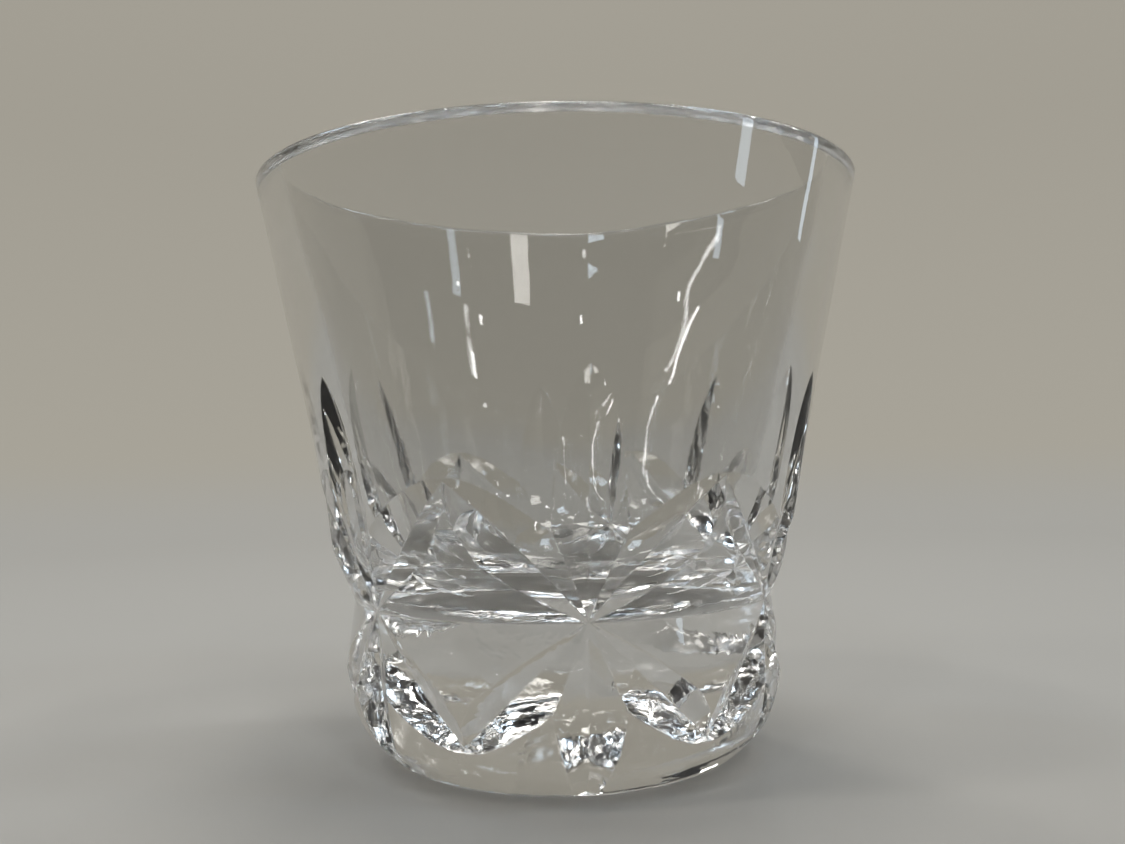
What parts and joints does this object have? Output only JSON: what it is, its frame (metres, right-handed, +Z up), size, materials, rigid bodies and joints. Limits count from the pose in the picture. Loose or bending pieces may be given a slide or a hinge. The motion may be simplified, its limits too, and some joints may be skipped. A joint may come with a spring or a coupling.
{
  "type": "whiskey tumbler",
  "caption": "Low flared drinking tumbler in clear cut crystal: plain clear upper wall with a flat polished rim, star-cut lower half, pinched waist and a heavy solid base.",
  "frame": {"origin": "centre of the flat resting face, on the table", "axes": "+Z up along the axis of the glass; -Y is the front, and the first star is 5.7 degrees from it towards +X"},
  "size_m": [0.0946, 0.0946, 0.09],
  "materials": {
    "crystal": "polished clear crystal"
  },
  "bodies": {
    "root": {"tumbler": "crystal"}
  },
  "joints": []
}
